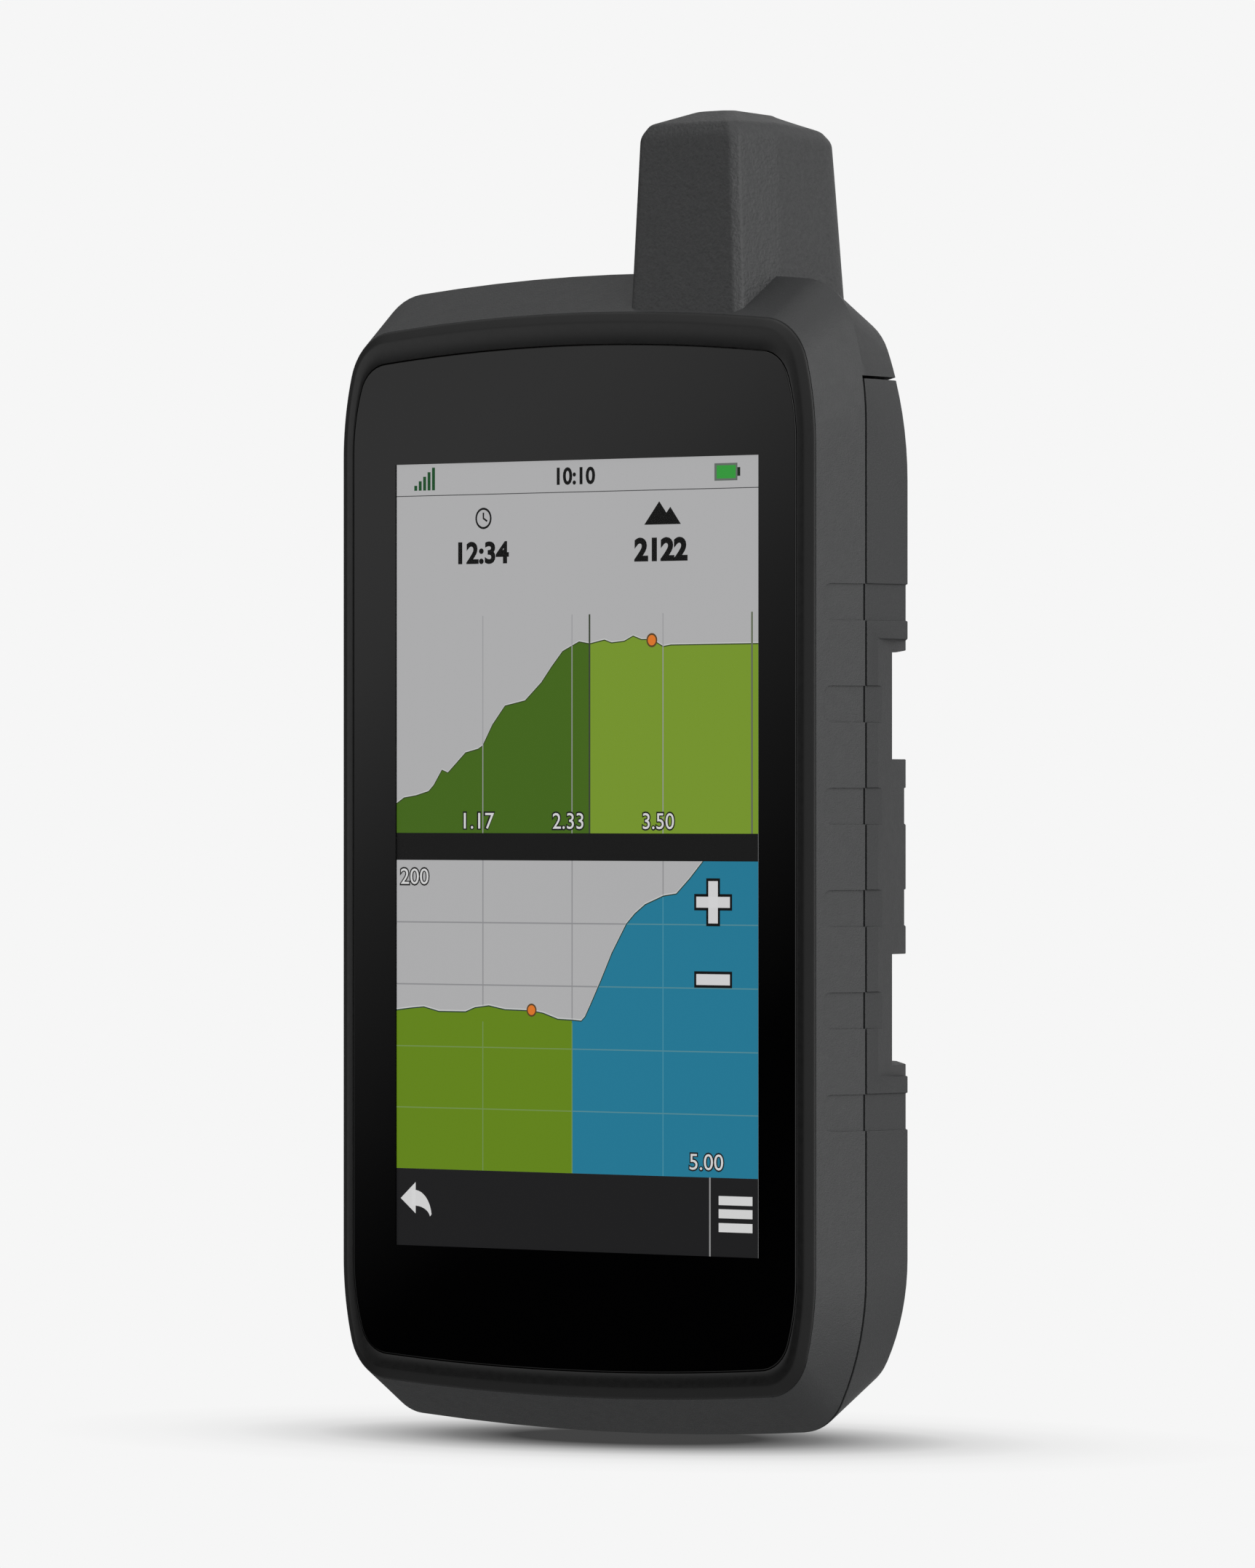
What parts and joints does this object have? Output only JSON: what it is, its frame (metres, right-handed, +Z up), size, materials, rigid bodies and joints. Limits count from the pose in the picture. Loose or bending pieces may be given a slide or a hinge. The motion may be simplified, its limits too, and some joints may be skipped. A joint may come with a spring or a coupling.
{
  "type": "handheld gps unit",
  "caption": "Rugged handheld satellite navigator with a tall touch screen, a stub antenna on its top right, ribbed grip sides, cradle notches and a latched battery cover.",
  "frame": {"origin": "on the plane under the lowest point of the case, centred across its width and its depth", "axes": "+Z up along the tall screen, +X to the right of someone facing the screen, +Y from the screen to the back"},
  "size_m": [0.0914, 0.0326, 0.183],
  "materials": {
    "housing": "fine spark-eroded texture",
    "bezel": "satin",
    "cover": "fine spark-eroded texture",
    "antenna": "coarse spark-eroded texture",
    "glass": "polished, black printed border",
    "screen": "transflective display, lit",
    "inner_plastic": "moulded",
    "rubber": "matte",
    "silicone": "satin silicone",
    "steel": "satin",
    "tinned_steel": "tinned",
    "gold": "gold plated",
    "circuit_board": "solder mask",
    "chip_black": "moulded epoxy",
    "flex": "polyimide film",
    "foam": "closed cell foam",
    "battery_plastic": "moulded",
    "ceramic": "sintered",
    "copper": "bare copper",
    "adhesive": "double-sided tape",
    "membrane": "expanded polymer film"
  },
  "bodies": {
    "root": {"cover_glass": "glass", "glass_adhesive": "adhesive", "front_bezel": "bezel", "touch_sensor": "glass", "lcd_panel": "screen", "backlight_unit": "inner_plastic", "display_frame": "steel", "display_flex": "flex", "front_housing": "housing", "housing_seal": "silicone", "rear_housing": "inner_plastic", "housing_screws": "steel", "vent_membrane": "membrane", "usb_receptacle": "tinned_steel", "power_key_seal": "silicone", "power_switch": "chip_black", "switch_flex": "flex", "speaker": "chip_black", "speaker_mesh": "steel", "mount_contacts": "gold", "antenna_shroud": "antenna", "antenna_board": "circuit_board", "antenna_core": "ceramic", "antenna_elements": "copper", "antenna_coax": "inner_plastic", "main_board": "circuit_board", "processor_shield": "tinned_steel", "radio_shield": "tinned_steel", "board_chips": "chip_black", "backup_cell": "steel", "board_screws": "steel", "card_holder": "tinned_steel", "battery_contacts": "gold", "battery_pads": "foam"},
    "cover": {"rear_cover": "cover", "cover_gasket": "silicone"},
    "latch": {"latch_rotor": "bezel", "latch_o_ring": "rubber", "latch_cam": "steel", "latch_screw": "steel", "d_ring_pin": "steel"},
    "d_ring": {"d_ring": "steel"},
    "battery": {"battery_pack": "battery_plastic", "battery_terminals": "gold"},
    "power_key": {"power_key": "rubber"},
    "usb_cap": {"usb_cap": "rubber"},
    "memory_card": {"memory_card": "chip_black"}
  },
  "joints": [
    {"name": "cover_lift", "type": "slide", "parent": "root", "child": "cover", "axis": [0, 1, 0], "range_m": [0, 0.03]},
    {"name": "latch_turn", "type": "hinge", "parent": "cover", "child": "latch", "pos_m": [0, 0.01365, 0.031], "axis": [0, 1, 0], "range_deg": [0, 90]},
    {"name": "ring_fold", "type": "hinge", "parent": "latch", "child": "d_ring", "pos_m": [0, 0.01455, 0.0345], "axis": [1, 0, 0], "range_deg": [0, 110]},
    {"name": "battery_lift", "type": "slide", "parent": "root", "child": "battery", "axis": [0, 1, 0], "range_m": [0, 0.018]},
    {"name": "power_key_press", "type": "slide", "parent": "root", "child": "power_key", "axis": [0, 0, -1], "range_m": [0, 0.0006], "stiffness_N_per_m": 2500},
    {"name": "usb_cap_hinge", "type": "hinge", "parent": "root", "child": "usb_cap", "pos_m": [-0.04374, -0.01135, 0.12258], "axis": [0.3198, -0.9475, 0], "range_deg": [0, 100]},
    {"name": "memory_card_slide", "type": "slide", "parent": "root", "child": "memory_card", "axis": [0, 0, 1], "range_m": [0, 0.012]}
  ],
  "couplings": [
    {"joint": "battery_lift", "follows": "cover_lift", "ratio": 0.6}
  ]
}
